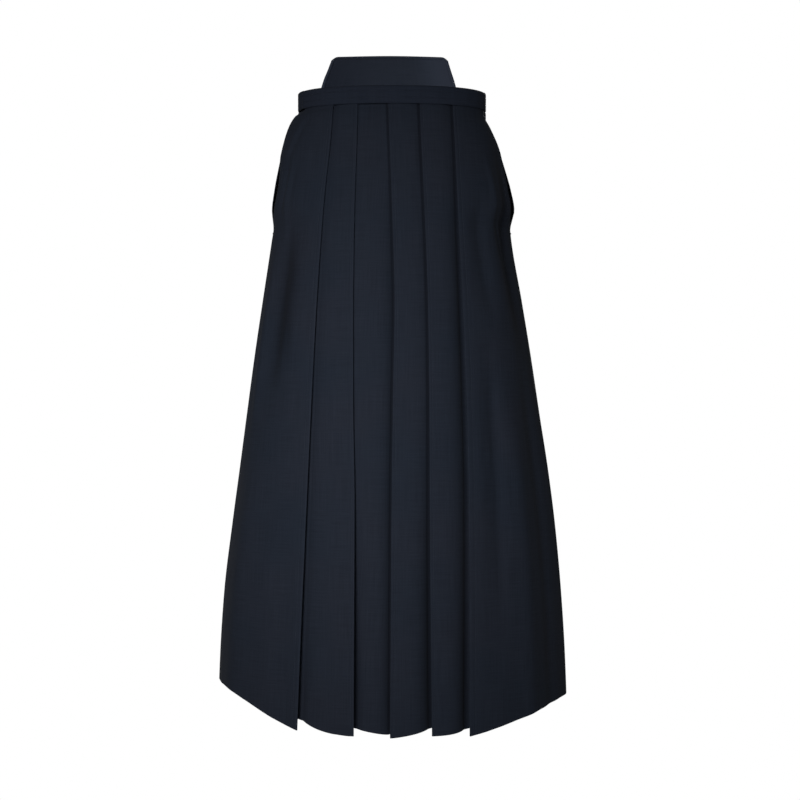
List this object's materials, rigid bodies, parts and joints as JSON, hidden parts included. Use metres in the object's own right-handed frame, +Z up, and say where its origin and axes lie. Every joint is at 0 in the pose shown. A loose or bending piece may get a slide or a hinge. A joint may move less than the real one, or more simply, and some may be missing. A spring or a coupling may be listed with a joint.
{
  "type": "hakama trousers",
  "caption": "Long pleated hakama trousers with a stiff back waist board, folded waistband and open side slits, held open as worn.",
  "frame": {"origin": "middle of the waist, half way up the front waistband, where the wearer's waist holds the part", "axes": "+Z up along the garment, -Y to its front, +X to the wearer's left"},
  "size_m": [0.5355, 0.4658, 1.036],
  "materials": {
    "cloth": "matt navy twill",
    "band": "matt navy twill, folded in several plies and stitched",
    "board": "smooth navy twill over a stiff board",
    "thread": "navy sewing thread"
  },
  "bodies": {
    "root": {"front_right_leg": "cloth", "front_left_leg": "cloth", "back_right_leg": "cloth", "back_left_leg": "cloth", "inner_right_leg": "cloth", "inner_left_leg": "cloth", "gusset": "cloth", "front_waistband": "band", "front_tie_right": "band", "front_tie_left": "band", "front_tie_knot": "band", "back_waistband": "band", "back_tie_right": "band", "back_tie_left": "band", "koshiita": "board", "slit_tack_right": "thread", "slit_tack_left": "thread"}
  },
  "joints": []
}
